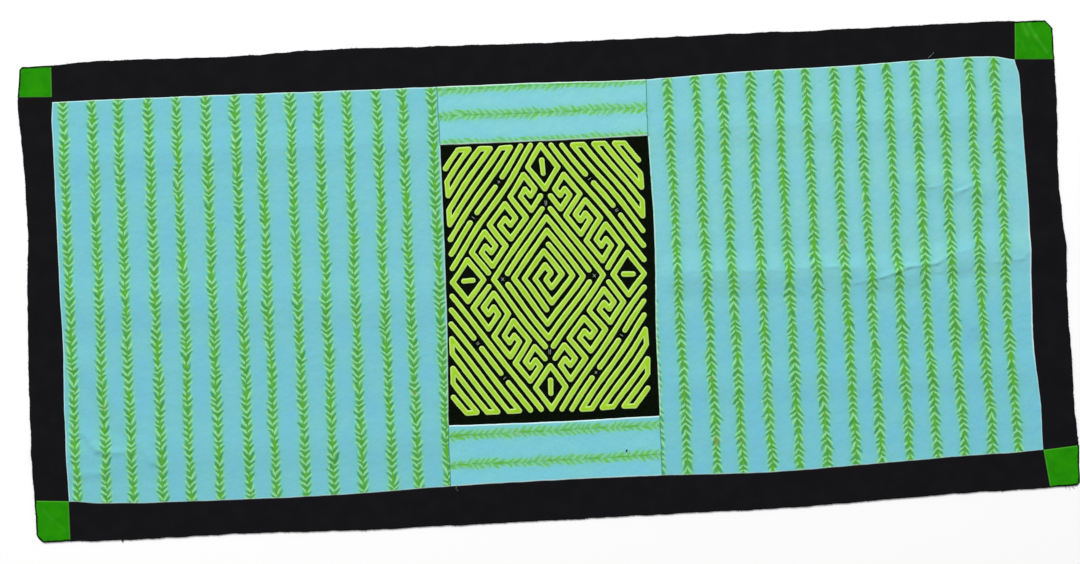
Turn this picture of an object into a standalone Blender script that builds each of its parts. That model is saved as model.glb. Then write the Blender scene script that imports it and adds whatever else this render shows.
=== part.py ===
"""A patchwork panel with a mola at its centre, lying flat on a surface.

The scene is in metres, +Z up. The origin is the middle of the panel, on the surface that it lies on.
+X runs along the panel and +Y across it. The tables and the functions that read them are in millimetres.
"""

import math
from collections import namedtuple

import bmesh
import bpy

MM = 0.001

# Thicknesses and gaps, in millimetres
CLOTH_THICK = 1.6
MOLA_GROUND_THICK = 1.2
LIME_THICK = 1.0
SEAM_GAP = 0.3
CELL = 22.0
BORDER_CELL = 30.0
MOLA_CELL = 50.0
CLEAR_OF_END = 2.0

# Where the seams and edges that run along the panel lie, from its left end to its right
Along = namedtuple("Along", "x outer_bottom seam_bottom seam_top outer_top")
ALONG = (
    Along(-510, -231.0, -193.0, 195.4, 231.3),
    Along(-475, -231.0, -193.2, 195.4, 231.8),
    Along(-440, -232.5, -197.0, 195.6, 233.8),
    Along(-300, -232.5, -200.0, 195.0, 232.5),
    Along(-200, -235.0, -200.0, 194.0, 235.4),
    Along(-100, -235.4, -197.5, 193.5, 233.5),
    Along(0, -235.4, -197.0, 193.0, 232.5),
    Along(100, -235.0, -197.8, 191.5, 232.3),
    Along(200, -235.4, -200.0, 195.0, 233.0),
    Along(300, -233.0, -197.5, 196.0, 232.5),
    Along(400, -230.0, -194.0, 199.0, 233.5),
    Along(450, -229.5, -193.4, 198.8, 233.6),
    Along(472, -229.0, -192.0, 194.8, 233.0),
    Along(510, -228.0, -192.0, 194.8, 232.0),
)

# Where the seams and edges that run across the panel lie, from the bottom to the top
Across = namedtuple("Across", "y outer_left seam_left mola_left mola_right seam_right outer_right")
ACROSS = (
    Across(-232, -506.5, -474.9, -107.2, 99.0, 478.9, 508.6),
    Across(-192, -508.0, -475.1, -106.9, 99.2, 474.7, 510.0),
    Across(-150, -509.3, -476.0, -106.5, 99.7, 475.2, 508.2),
    Across(-100, -509.3, -476.6, -104.9, 100.2, 472.2, 508.6),
    Across(-50, -509.3, -475.6, -103.2, 100.8, 473.0, 508.4),
    Across(0, -508.0, -476.5, -102.4, 103.0, 475.0, 510.0),
    Across(50, -506.1, -477.5, -101.9, 104.2, 476.0, 508.2),
    Across(75, -505.6, -477.6, -101.8, 103.9, 476.0, 507.2),
    Across(100, -506.0, -478.0, -101.7, 103.4, 475.6, 508.5),
    Across(150, -508.4, -478.3, -101.8, 103.0, 475.0, 510.6),
    Across(178, -510.6, -478.9, -102.2, 103.6, 475.2, 511.0),
    Across(195, -511.4, -477.8, -102.4, 104.0, 471.6, 511.2),
    Across(232, -508.2, -477.5, -102.4, 104.0, 474.0, 511.4),
)

# The seams at the top and the bottom of the mola
MolaEdge = namedtuple("MolaEdge", "x bottom top")
MOLA_EDGES = (
    MolaEdge(-105, -138.8, 135.8),
    MolaEdge(0, -140.3, 135.0),
    MolaEdge(102, -139.5, 135.5),
)

# The green squares: each corner of the cloth as (x, y), and how far its free corner is turned in
Square = namedtuple("Square", "name top_left top_right bottom_right bottom_left free_corner turned_in")
SQUARES = (
    Square(
        "corner_top_left", (-508.2, 231.3), (-477.5, 231.8), (-477.8, 200.3), (-510.9, 201.5), (0, 1), 0.4
    ),
    Square(
        "corner_top_right", (474.0, 233.0), (511.4, 232.2), (511.2, 193.1), (471.8, 194.8), (1, 1), 4.6
    ),
    Square(
        "corner_bottom_left", (-507.8, -190.6), (-475.1, -192.7), (-474.9, -231.0), (-507.0, -231.4), (0, 0), 4.0
    ),
    Square(
        "corner_bottom_right", (474.7, -192.0), (510.0, -189.3), (508.6, -228.2), (479.0, -229.0), (1, 0), 1.2
    ),
)
SQUARE_CELLS = 5

# Soft creases left by storing the panel folded: a ridge from one place to another
Crease = namedtuple("Crease", "x0 y0 x1 y1 height reach")
CREASES = (
    Crease(-511, 0, -128, -14, 1.3, 24),
    Crease(126, -12, 298, -20, 1.8, 24),
    Crease(298, -20, 420, 2, 2.4, 22),
    Crease(420, 2, 512, 4, 1.6, 24),
    Crease(372, -10, 412, -66, 1.4, 20),
    Crease(372, 80, 428, 68, 1.5, 20),
    Crease(-511, 140, -128, 140, 0.9, 26),
    Crease(126, 141, 512, 139, 1.0, 26),
    Crease(-508, -150, -340, -151, 1.5, 24),
    Crease(-340, -151, -128, -148, 0.8, 24),
    Crease(126, -110, 512, -112, 0.8, 24),
    Crease(-455, -60, -395, -150, 1.2, 20),
)

# The lime bands run on a slanting lattice: a counts steps up to the right, b steps up to the left
LATTICE_X = 5.11
LATTICE_Y = 6.98
PATTERN_X = -2.7
PATTERN_Y = 0.8
BAND_WIDTH = 5.5
LONGEST_RUN = 34.0
STRAIGHT_TURN = math.radians(12)
ARC_STEP = math.radians(50)
CAP_STEPS = 4

# The rings round the heart of the mola, as lattice steps from its middle
HEART_RING = 3.25
TOP_AND_BOTTOM_RING = 4.25
SIDE_RING = 5.25
KEY_FROM = 6.25
KEY_TO = 9.25
LONG_BAR = 10.25
BROKEN_BAR = 11.25
FIRST_FOLD_BACK = 12.25
FOLD_BACKS = 6
LATTICE_EDGE = 18.5
RING_GAP = 0.8

Material = namedtuple("Material", "name color roughness")
PRINT_CLOTH = Material("printed_cotton", (0.19, 0.53, 0.64), 0.85)
BORDER_CLOTH = Material("black_cotton", (0.012, 0.012, 0.016), 0.9)
SQUARE_CLOTH = Material("green_cotton", (0.025, 0.30, 0.008), 0.85)
GROUND_CLOTH = Material("mola_black_cotton", (0.008, 0.008, 0.010), 0.9)
LIME_CLOTH = Material("mola_lime_cotton", (0.36, 0.66, 0.04), 0.85)


def clear_scene():
    for item in list(bpy.data.objects):
        bpy.data.objects.remove(item, do_unlink=True)


def finish_of(material):
    found = bpy.data.materials.get(material.name)
    if found:
        return found
    made = bpy.data.materials.new(material.name)
    made.use_nodes = True
    shader = made.node_tree.nodes["Principled BSDF"]
    shader.inputs["Base Color"].default_value = (*material.color, 1)
    shader.inputs["Roughness"].default_value = material.roughness
    shader.inputs["Metallic"].default_value = 0.0
    return made


def add_object(name, mesh_builder, material):
    bmesh.ops.recalc_face_normals(mesh_builder, faces=mesh_builder.faces)
    mesh = bpy.data.meshes.new(name)
    mesh_builder.to_mesh(mesh)
    mesh_builder.free()
    mesh.materials.append(finish_of(material))
    made = bpy.data.objects.new(name, mesh)
    bpy.context.scene.collection.objects.link(made)
    return made


# Seam lines

def curve_through(table, place, value):
    """A smooth line through two columns of a table, held level past its ends."""
    places = [getattr(row, place) for row in table]
    values = [getattr(row, value) for row in table]
    last = len(places) - 1

    def slope(i):
        before, after = max(i - 1, 0), min(i + 1, last)
        return (values[after] - values[before]) / (places[after] - places[before])

    def at(where):
        if where <= places[0]:
            return values[0]
        if where >= places[last]:
            return values[last]
        i = max(k for k in range(last) if places[k] <= where)
        width = places[i + 1] - places[i]
        t = (where - places[i]) / width
        rise = t * t * (3 - 2 * t)
        leave = t * (1 - t) ** 2 * width
        arrive = t * t * (t - 1) * width
        return values[i] + (values[i + 1] - values[i]) * rise + slope(i) * leave + slope(i + 1) * arrive

    return at


def line_along(start, end):
    """The straight seam between two places, as y at a given x."""
    rise = (end[1] - start[1]) / (end[0] - start[0])
    return lambda x: start[1] + (x - start[0]) * rise


def line_across(start, end):
    """The straight seam between two places, as x at a given y."""
    run = (end[0] - start[0]) / (end[1] - start[1])
    return lambda y: start[0] + (y - start[1]) * run


def lay(x, y):
    """How far the cloth is lifted off the surface at a place, by its nearest crease."""
    highest = 0.0
    for crease in CREASES:
        run_x, run_y = crease.x1 - crease.x0, crease.y1 - crease.y0
        along = ((x - crease.x0) * run_x + (y - crease.y0) * run_y) / (run_x**2 + run_y**2)
        along = min(max(along, 0.0), 1.0)
        away = math.hypot(x - crease.x0 - along * run_x, y - crease.y0 - along * run_y)
        if away < crease.reach:
            highest = max(highest, crease.height * (1 - (away / crease.reach) ** 2) ** 2)
    return highest


# Sheets of cloth

def raise_faces(mesh_builder, thick):
    """Gives flat cloth its thickness, straight up."""
    grown = bmesh.ops.extrude_face_region(mesh_builder, geom=list(mesh_builder.faces))
    risen = [item for item in grown["geom"] if isinstance(item, bmesh.types.BMVert)]
    bmesh.ops.translate(mesh_builder, verts=risen, vec=(0, 0, thick * MM))


def add_sheet(name, columns, rows, place, thick, material):
    """One cut piece: a grid, each point set in its place by a function of its column and row."""
    cloth = bmesh.new()
    bmesh.ops.create_grid(cloth, x_segments=columns, y_segments=rows, size=0.5)
    for vertex in cloth.verts:
        x, y = place(round((vertex.co.x + 0.5) * columns), round((vertex.co.y + 0.5) * rows))
        vertex.co = (x * MM, y * MM, lay(x, y) * MM)
    raise_faces(cloth, thick)
    return add_object(name, cloth, material)


def mix(low, high, share):
    return low * (1 - share) + high * share


def meeting(left, right, low, high, across, up):
    """The place a share across and a share up between four seams, half a gap in from each."""
    inset = SEAM_GAP / 2
    x, y = 0.0, 0.0
    for _ in range(6):
        x = mix(left(y) + inset, right(y) - inset, across)
        y = mix(low(x) + inset, high(x) - inset, up)
    return x, y


def panel_place(left, right, low, high, columns, rows):
    return lambda i, j: meeting(left, right, low, high, i / columns, j / rows)


def cells(start, end, size):
    return max(1, round(abs(end - start) / size))


def inner_pieces(seams):
    """The four printed pieces, each with its seams and its columns and rows."""
    left_columns = cells(seams["seam_left"](0), seams["mola_left"](0), CELL)
    right_columns = cells(seams["mola_right"](0), seams["seam_right"](0), CELL)
    strip_columns = cells(seams["mola_left"](0), seams["mola_right"](0), BORDER_CELL)
    rows = cells(seams["seam_bottom"](0), seams["seam_top"](0), CELL)
    table = (
        ("side_panel_left", "seam_left", "mola_left", "seam_bottom", "seam_top", left_columns, rows),
        ("infill_above_mola", "mola_left", "mola_right", "mola_top", "seam_top", strip_columns, 2),
        ("infill_below_mola", "mola_left", "mola_right", "seam_bottom", "mola_bottom", strip_columns, 2),
        ("side_panel_right", "mola_right", "seam_right", "seam_bottom", "seam_top", right_columns, rows),
    )
    pieces = {}
    for name, left, right, low, high, across, up in table:
        pieces[name] = (seams[left], seams[right], seams[low], seams[high], across, up)
    return pieces


def add_printed_cloth(pieces):
    """The two side panels, and the strips that fill the middle above and below the mola."""
    for name, (left, right, low, high, columns, rows) in pieces.items():
        place = panel_place(left, right, low, high, columns, rows)
        add_sheet(name, columns, rows, place, CLOTH_THICK, PRINT_CLOTH)


def add_long_border(name, ends, low, high, neighbours, up):
    """A black strip along the panel, with a column wherever its neighbours have one."""
    left, right = ends
    stations = []
    for piece in neighbours:
        stations += [meeting(*piece[:4], k / piece[4], up)[0] for k in range(1, piece[4] + 1)]
    stations.pop()
    inset = SEAM_GAP / 2
    last = len(stations) + 1

    def place(i, j):
        if 0 < i < last:
            x = stations[i - 1]
            return x, mix(low(x) + inset, high(x) - inset, j / 2)
        return meeting(left, right, low, high, i / last, j / 2)

    add_sheet(name, last, 2, place, CLOTH_THICK, BORDER_CLOTH)


def add_short_border(name, ends, left, right, piece, across):
    """A black strip across the panel, with a row wherever the side panel has one."""
    low, high = ends
    heights = [meeting(*piece[:4], across, k / piece[5])[1] for k in range(piece[5] + 1)]
    bottom, top = low(left(0)), high(left(0))
    stations = [y for y in heights if bottom + CLEAR_OF_END < y < top - CLEAR_OF_END]
    inset = SEAM_GAP / 2
    last = len(stations) + 1

    def place(i, j):
        if 0 < j < last:
            y = stations[j - 1]
            return mix(left(y) + inset, right(y) - inset, i / 2), y
        return meeting(left, right, low, high, i / 2, j / last)

    add_sheet(name, 2, last, place, CLOTH_THICK, BORDER_CLOTH)


def add_borders(seams, pieces, squares):
    """The black strips. The long ones end at the green squares' sides, the short ones at their feet."""
    top_left, top_right = squares["corner_top_left"], squares["corner_top_right"]
    low_left, low_right = squares["corner_bottom_left"], squares["corner_bottom_right"]
    left_panel, right_panel = pieces["side_panel_left"], pieces["side_panel_right"]
    add_long_border(
        "border_top",
        (
            line_across(top_left.bottom_right, top_left.top_right),
            line_across(top_right.bottom_left, top_right.top_left),
        ),
        seams["seam_top"],
        seams["outer_top"],
        (left_panel, pieces["infill_above_mola"], right_panel),
        1,
    )
    add_long_border(
        "border_bottom",
        (
            line_across(low_left.bottom_right, low_left.top_right),
            line_across(low_right.bottom_left, low_right.top_left),
        ),
        seams["outer_bottom"],
        seams["seam_bottom"],
        (left_panel, pieces["infill_below_mola"], right_panel),
        0,
    )
    add_short_border(
        "border_left",
        (
            line_along(low_left.top_left, low_left.top_right),
            line_along(top_left.bottom_left, top_left.bottom_right),
        ),
        seams["outer_left"],
        seams["seam_left"],
        left_panel,
        0,
    )
    add_short_border(
        "border_right",
        (
            line_along(low_right.top_left, low_right.top_right),
            line_along(top_right.bottom_left, top_right.bottom_right),
        ),
        seams["seam_right"],
        seams["outer_right"],
        right_panel,
        1,
    )


def add_square(square):
    """A green square, its free corner turned in a little."""
    sides = (
        line_across(square.bottom_left, square.top_left),
        line_across(square.bottom_right, square.top_right),
        line_along(square.bottom_left, square.bottom_right),
        line_along(square.top_left, square.top_right),
    )
    corner_x, corner_y = meeting(*sides, *square.free_corner)
    middle_x, middle_y = meeting(*sides, 0.5, 0.5)
    share = square.turned_in / math.hypot(corner_x - middle_x, corner_y - middle_y)
    free_column, free_row = (SQUARE_CELLS * side for side in square.free_corner)

    def place(i, j):
        x, y = meeting(*sides, i / SQUARE_CELLS, j / SQUARE_CELLS)
        if (i, j) == (free_column, free_row):
            x, y = mix(x, middle_x, share), mix(y, middle_y, share)
        return x, y

    add_sheet(square.name, SQUARE_CELLS, SQUARE_CELLS, place, CLOTH_THICK, SQUARE_CLOTH)


def add_mola_ground(seams):
    sides = seams["mola_left"], seams["mola_right"], seams["mola_bottom"], seams["mola_top"]
    columns = cells(sides[0](0), sides[1](0), MOLA_CELL)
    rows = cells(sides[2](0), sides[3](0), MOLA_CELL)
    place = panel_place(*sides, columns, rows)
    add_sheet("mola_ground", columns, rows, place, MOLA_GROUND_THICK, GROUND_CLOTH)


# The lime bands of the mola

def heart_spiral():
    """Two spiral arms, one the other turned half round, drawn as one band."""
    narrow, wide = HEART_RING / 3.5, HEART_RING / 3.0
    arm = [(0.5, 0), (0.5, 1), (-1.5, 1), (-1.5, -2), (2.5, -2), (2.5, 2)]
    arm = [(a * narrow, b * wide) for a, b in arm]
    return [(-a, -b) for a, b in reversed(arm)] + arm


def square_ring(low, high):
    return [(low, low), (high, low), (high, high), (low, high)]


def upper_half_ring(size):
    """Open at the left and the right of the pattern."""
    return [(size, RING_GAP - size), (size, size), (RING_GAP - size, size)]


def right_half_ring(size):
    """Open at the top and the bottom of the pattern."""
    return [(size, size - RING_GAP), (size, -size), (RING_GAP - size, -size)]


def key_row():
    """A running key along one side of the diamond, three turns long."""
    columns = 12
    step = 2 * SIDE_RING / (columns - 1)
    turn = [(0, 0), (0, 3), (3, 3), (3, 1), (2, 1), (2, 2), (1, 2), (1, 0)]
    run = [(4 * k + along, rise) for k in range(3) for along, rise in turn]
    run.append((columns - 1, 0))
    return [(KEY_FROM + rise, along * step - SIDE_RING) for along, rise in run]


def folded_back_corner():
    """One band that runs back and forth, shorter each time, into a corner of the mola."""
    run = []
    for k in range(FOLD_BACKS):
        place = FIRST_FOLD_BACK + k
        end = LATTICE_EDGE - place
        run += [(place, -end), (place, end)] if k % 2 == 0 else [(place, end), (place, -end)]
    return run


def lime_bands():
    """Every band as a name, its lattice points and whether it closes on itself."""
    quarters = {
        "north_east": lambda a, b: (a, b),
        "north_west": lambda a, b: (b, a),
        "south_west": lambda a, b: (-a, -b),
        "south_east": lambda a, b: (-b, -a),
    }
    halves = {"one": lambda a, b: (a, b), "two": lambda a, b: (-a, -b)}
    points = {
        "top": lambda a, b: (a, b),
        "right": lambda a, b: (a, -b),
        "bottom": lambda a, b: (-a, -b),
        "left": lambda a, b: (-a, b),
    }
    whole = {"middle": lambda a, b: (a, b)}
    reach = LATTICE_EDGE - LONG_BAR
    mid = (KEY_FROM + KEY_TO) / 2
    Band = namedtuple("Band", "name copies closed points")
    table = (
        Band("lime_heart", whole, False, heart_spiral()),
        Band("lime_heart_ring", whole, True, square_ring(-HEART_RING, HEART_RING)),
        Band("lime_upper_ring", halves, False, upper_half_ring(TOP_AND_BOTTOM_RING)),
        Band("lime_side_ring", halves, False, right_half_ring(SIDE_RING)),
        Band("lime_key", quarters, False, key_row()),
        Band("lime_point_ring", points, True, square_ring(KEY_FROM, KEY_TO)),
        Band("lime_point_dot", points, False, [(mid - 0.45, mid - 0.45), (mid + 0.45, mid + 0.45)]),
        Band("lime_long_bar", quarters, False, [(LONG_BAR, -reach), (LONG_BAR, reach)]),
        Band("lime_dash_left", quarters, False, [(BROKEN_BAR, 3.15), (BROKEN_BAR, reach - 1)]),
        Band("lime_dash_middle", quarters, False, [(BROKEN_BAR, -1.75), (BROKEN_BAR, 1.75)]),
        Band("lime_dash_right", quarters, False, [(BROKEN_BAR, 1 - reach), (BROKEN_BAR, -3.15)]),
        Band("lime_corner", quarters, False, folded_back_corner()),
    )
    for band in table:
        for copy, turn in band.copies.items():
            yield f"{band.name}_{copy}", [turn(a, b) for a, b in band.points], band.closed


def on_mola(a, b, middle_at):
    """The place of a lattice point, with the slow wander that cutting by hand gives the pattern."""
    x, y = (a - b) * LATTICE_X, (a + b) * LATTICE_Y
    wander_x = 0.8 * math.sin(x / 17 + y / 29) + 0.5 * math.sin(y / 13 + 1.3)
    wander_y = 0.8 * math.sin(y / 19 - x / 31 + 0.7) + 0.5 * math.sin(x / 11 + 2.1)
    y += wander_y + PATTERN_Y
    return middle_at(y) + PATTERN_X + x + wander_x, y


def with_middles(points, closed):
    """Adds a point on each run of the lattice that is longer than the wander can bend."""
    fuller = []
    pairs = list(zip(points, points[1:] + points[:1]))
    for (a0, b0), (a1, b1) in pairs if closed else pairs[:-1]:
        length = math.hypot((a1 - a0 - b1 + b0) * LATTICE_X, (a1 - a0 + b1 - b0) * LATTICE_Y)
        steps = max(1, math.ceil(length / LONGEST_RUN))
        fuller += [(a0 + (a1 - a0) * k / steps, b0 + (b1 - b0) * k / steps) for k in range(steps)]
    return fuller if closed else fuller + [points[-1]]


def width_at(x, y):
    return BAND_WIDTH * (1 + 0.05 * math.sin(0.11 * x + 0.17 * y))


def arc(x, y, radius, start, sweep, steps):
    return [
        (x + radius * math.cos(start + sweep * k / steps), y + radius * math.sin(start + sweep * k / steps))
        for k in range(steps + 1)
    ]


def corner_sides(before, here, after):
    """The left and the right side of a band at one of its points, as lists of places."""
    x, y = here
    half = width_at(x, y) / 2
    heading = math.atan2(y - before[1], x - before[0])
    leaving = math.atan2(after[1] - y, after[0] - x)
    turn = (leaving - heading + math.pi) % (2 * math.pi) - math.pi
    middle = heading + turn / 2
    if abs(turn) < STRAIGHT_TURN:
        return (
            [(x - half * math.sin(middle), y + half * math.cos(middle))],
            [(x + half * math.sin(middle), y - half * math.cos(middle))],
        )
    side = math.copysign(1, turn)
    reach = half / math.cos(turn / 2)
    inner = [(x - side * reach * math.sin(middle), y + side * reach * math.cos(middle))]
    steps = max(1, round(abs(turn) / ARC_STEP))
    outer = arc(x, y, half, heading - side * math.pi / 2, turn, steps)
    return (inner, outer) if side > 0 else (outer, inner)


def band_sides(path, closed):
    """The outline of a band: one loop for an open band, two for one that closes on itself."""
    count = len(path)
    left, right = [], []
    for i in range(count) if closed else range(1, count - 1):
        on_left, on_right = corner_sides(path[i - 1], path[i], path[(i + 1) % count])
        left += on_left
        right += on_right
    if closed:
        return [left, right]
    (x0, y0), (x1, y1) = path[0], path[-1]
    first = math.atan2(path[1][1] - y0, path[1][0] - x0)
    last = math.atan2(y1 - path[-2][1], x1 - path[-2][0])
    start = arc(x0, y0, width_at(x0, y0) / 2, first - math.pi / 2, -math.pi, CAP_STEPS)
    end = arc(x1, y1, width_at(x1, y1) / 2, last + math.pi / 2, -math.pi, CAP_STEPS)
    return [start + left + end + right[::-1]]


def add_band(name, points, closed, middle_at):
    path = [on_mola(a, b, middle_at) for a, b in with_middles(points, closed)]
    lowest = (MOLA_GROUND_THICK + SEAM_GAP) * MM
    cloth = bmesh.new()
    edges = []
    for loop in band_sides(path, closed):
        vertices = [cloth.verts.new((x * MM, y * MM, lowest)) for x, y in loop]
        edges += [cloth.edges.new((vertices[i - 1], vertices[i])) for i in range(len(vertices))]
    bmesh.ops.triangle_fill(cloth, use_beauty=True, use_dissolve=False, edges=edges)
    raise_faces(cloth, LIME_THICK)
    add_object(name, cloth, LIME_CLOTH)


def main():
    clear_scene()
    seams = {name: curve_through(ALONG, "x", name) for name in Along._fields[1:]}
    seams.update({name: curve_through(ACROSS, "y", name) for name in Across._fields[1:]})
    seams["mola_bottom"] = curve_through(MOLA_EDGES, "x", "bottom")
    seams["mola_top"] = curve_through(MOLA_EDGES, "x", "top")
    pieces = inner_pieces(seams)
    add_printed_cloth(pieces)
    add_borders(seams, pieces, {square.name: square for square in SQUARES})
    for square in SQUARES:
        add_square(square)
    add_mola_ground(seams)

    def middle_at(y):
        return (seams["mola_left"](y) + seams["mola_right"](y)) / 2

    for name, points, closed in lime_bands():
        add_band(name, points, closed, middle_at)


main()
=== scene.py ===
"""A patchwork panel with a mola at its centre, lying flat on a pale surface, seen from above.

The tables are in millimetres and the scene is in metres. +X runs along the panel, +Y across it and +Z up.
"""

import bisect
import math
from collections import namedtuple

import bmesh
import bpy
from mathutils import Matrix, Vector, noise


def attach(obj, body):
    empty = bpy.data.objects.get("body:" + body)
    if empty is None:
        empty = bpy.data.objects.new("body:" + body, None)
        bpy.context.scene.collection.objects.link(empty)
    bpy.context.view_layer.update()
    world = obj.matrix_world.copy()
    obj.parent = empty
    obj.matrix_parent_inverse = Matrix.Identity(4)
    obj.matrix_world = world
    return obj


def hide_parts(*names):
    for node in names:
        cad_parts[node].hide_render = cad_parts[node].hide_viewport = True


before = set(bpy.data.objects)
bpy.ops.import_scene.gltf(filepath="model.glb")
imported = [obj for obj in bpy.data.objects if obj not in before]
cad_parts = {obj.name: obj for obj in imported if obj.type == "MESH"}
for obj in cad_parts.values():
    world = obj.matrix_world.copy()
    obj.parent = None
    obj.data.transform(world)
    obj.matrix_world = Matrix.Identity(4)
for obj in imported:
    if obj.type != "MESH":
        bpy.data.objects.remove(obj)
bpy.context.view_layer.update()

# The view. The photograph looks almost straight down from a metre and a half above the panel,
# and the panel lies a little turned in the frame. Colours are shown as they are, with no film curve.
LENS_MM = 50
SENSOR_MM = 36
EYE = (-0.0486, -0.0731, 1.4668)
EYE_TURN = (2.793, -1.352, -2.851)

view = bpy.data.cameras.new("view")
view.lens = LENS_MM
view.sensor_width = SENSOR_MM
camera = bpy.data.objects.new("view", view)
camera.location = EYE
camera.rotation_euler = [math.radians(turn) for turn in EYE_TURN]
bpy.context.scene.collection.objects.link(camera)
bpy.context.scene.camera = camera
bpy.context.scene.view_settings.view_transform = "Standard"


# The surface and the light. A white table top in a bright room, under a wide soft lamp that stands far
# beyond the panel's far edge, so creases that run along the panel are darker on their near side.
TABLE_REACH = 12.0
TABLE_WHITE = (0.99, 0.99, 0.99, 1)
LAMP_AT = (-1.4, 5.2, 4.5)
LAMP_SIZE = 2.4
LAMP_WATTS = 452
ROOM_STRENGTH = 0.455


def made(name, shape):
    """Makes a finished shape an object in the scene, shaded smooth."""
    mesh = bpy.data.meshes.new(name)
    shape.to_mesh(mesh)
    shape.free()
    mesh.shade_smooth()
    piece = bpy.data.objects.new(name, mesh)
    bpy.context.scene.collection.objects.link(piece)
    return piece


def plain_finish(name, roughness, gloss):
    """A material of one roughness and gloss, and its shader."""
    material = bpy.data.materials.new(name)
    material.use_nodes = True
    shader = material.node_tree.nodes["Principled BSDF"]
    shader.inputs["Roughness"].default_value = roughness
    shader.inputs["Specular IOR Level"].default_value = gloss
    return material, shader


top = bmesh.new()
bmesh.ops.create_grid(top, x_segments=1, y_segments=1, size=TABLE_REACH)
table_top = made("table_top", top)
table_finish, table_shader = plain_finish("table_white", 0.9, 0.1)
table_shader.inputs["Base Color"].default_value = TABLE_WHITE
table_top.data.materials.append(table_finish)

lamp_light = bpy.data.lights.new("soft_lamp", "AREA")
lamp_light.energy = LAMP_WATTS
lamp_light.size = LAMP_SIZE
lamp = bpy.data.objects.new("soft_lamp", lamp_light)
lamp.location = LAMP_AT
lamp.rotation_euler = (-Vector(LAMP_AT)).to_track_quat("-Z", "Y").to_euler()
bpy.context.scene.collection.objects.link(lamp)

room = bpy.data.worlds.new("bright_room")
room.use_nodes = True
room.node_tree.nodes["Background"].inputs["Color"].default_value = (1, 1, 1, 1)
room.node_tree.nodes["Background"].inputs["Strength"].default_value = ROOM_STRENGTH
bpy.context.scene.world = room


# The printed cloth. Two side panels and two short strips of light cotton, turquoise, with rows of
# green leaf strokes. Each is cut to shape, sewn to its neighbours with its edges turned under and
# pressed, and creased where the panel was folded away.
MM = 0.001
CLOTH_THICK = 1.6
SEAM_OVERLAP = 0.12
SEAM_ROLL = 0.8
SEAM_STATIONS = (0.0, 0.3, 0.8, 1.5, 2.6, 4.0)
PUCKER_HEIGHT = 0.3
PUCKER_LONG = 3.7
PUCKER_REACH = 16
FAR_FROM_EDGE = 20.0
SHARP_TURN = math.radians(70)
ALL_DARK = "dark dark dark dark"
CELL = 2.6
CLOSE_CELL = 1.1
CLOSE_ROWS = ((-172, -126), (-34, 12), (62, 74), (137, 144))


def table_of(name, columns, *rows):
    """A table whose rows have named columns."""
    row = namedtuple(name, columns)
    return [row(*values) for values in rows]


# Where the seams and edges that run along the panel lie, from its left end to its right
ALONG = table_of(
    "Along", "x outer_bottom seam_bottom seam_top outer_top",
    (-510, -231.0, -193.0, 195.4, 231.3),
    (-475, -231.0, -193.2, 195.4, 231.8),
    (-440, -232.5, -197.0, 195.6, 233.8),
    (-300, -232.5, -200.0, 195.0, 232.5),
    (-200, -235.0, -200.0, 194.0, 235.4),
    (-100, -235.4, -197.5, 193.5, 233.5),
    (0, -235.4, -197.0, 193.0, 232.5),
    (100, -235.0, -197.8, 191.5, 232.3),
    (200, -235.4, -200.0, 195.0, 233.0),
    (300, -233.0, -197.5, 196.0, 232.5),
    (400, -230.0, -194.0, 199.0, 233.5),
    (450, -229.5, -193.4, 198.8, 233.6),
    (472, -229.0, -192.0, 194.8, 233.0),
    (510, -228.0, -192.0, 194.8, 232.0),
)

# Where the seams and edges that run across the panel lie, from the bottom to the top
ACROSS = table_of(
    "Across", "y outer_left seam_left mola_left mola_right seam_right outer_right",
    (-232, -506.5, -474.9, -107.2, 99.0, 478.9, 508.6),
    (-192, -508.0, -475.1, -106.9, 99.2, 474.7, 510.0),
    (-150, -509.3, -476.0, -106.5, 99.7, 475.2, 508.2),
    (-100, -509.3, -476.6, -104.9, 100.2, 472.2, 508.6),
    (-50, -509.3, -475.6, -103.2, 100.8, 473.0, 508.4),
    (0, -508.0, -476.5, -102.4, 103.0, 475.0, 510.0),
    (50, -506.1, -477.5, -101.9, 104.2, 476.0, 508.2),
    (75, -505.6, -477.6, -101.8, 103.9, 476.0, 507.2),
    (100, -506.0, -478.0, -101.7, 103.4, 475.6, 508.5),
    (150, -508.4, -478.3, -101.8, 103.0, 475.0, 510.6),
    (178, -510.6, -478.9, -102.2, 103.6, 475.2, 511.0),
    (195, -511.4, -477.8, -102.4, 104.0, 471.6, 511.2),
    (232, -508.2, -477.5, -102.4, 104.0, 474.0, 511.4),
)

# The seams at the top and the bottom of the mola
MOLA_EDGES = table_of(
    "MolaEdge", "x bottom top",
    (-105, -138.8, 135.8),
    (0, -140.3, 135.0),
    (102, -139.5, 135.5),
)

# Broad soft creases, about where the solids have them: a ridge from one place to another
BROAD_CREASES = table_of(
    "Crease", "x0 y0 x1 y1 height reach",
    (-511, 0, -128, -14, 1.1, 34),
    (126, -3, 298, -9, 1.8, 26),
    (298, -9, 341, -12, 2.2, 22),
    (341, -12, 420, 3, 2.4, 22),
    (420, 3, 512, 4, 1.6, 24),
    (372, -10, 412, -66, 1.4, 20),
    (372, 80, 428, 68, 1.5, 20),
    (-511, 140, -128, 140, 0.9, 26),
    (126, 141, 512, 139, 1.0, 26),
    (-508, -150, -390, -151, 1.2, 28),
    (-390, -151, -128, -148, 0.8, 30),
    (126, -110, 512, -112, 0.8, 24),
    (-455, -60, -395, -150, 1.2, 20),
)

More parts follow.
